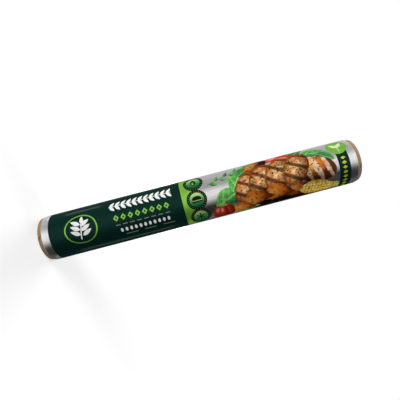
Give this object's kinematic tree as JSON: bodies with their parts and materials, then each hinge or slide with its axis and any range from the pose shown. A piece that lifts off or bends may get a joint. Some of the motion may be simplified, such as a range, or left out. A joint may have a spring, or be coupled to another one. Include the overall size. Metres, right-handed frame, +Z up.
{
  "type": "aluminium foil roll",
  "caption": "Household aluminium foil wound on a cardboard core and wrapped in a printed sleeve, standing on one end of the core.",
  "frame": {"origin": "middle of the core's foot end, on the roll's axis", "axes": "+Z up along the roll's axis, from the foot end to the head end; -Y is the side that the front of the printed sleeve faces, and the sleeve's glued lap lies on the +Y side"},
  "size_m": [0.0423, 0.0425, 0.297],
  "materials": {
    "cardboard": "matte",
    "foil": "bright",
    "printed_film": "gloss"
  },
  "bodies": {
    "root": {"cardboard_core": "cardboard", "foil_winding": "foil", "label_sleeve": "printed_film"}
  },
  "joints": []
}
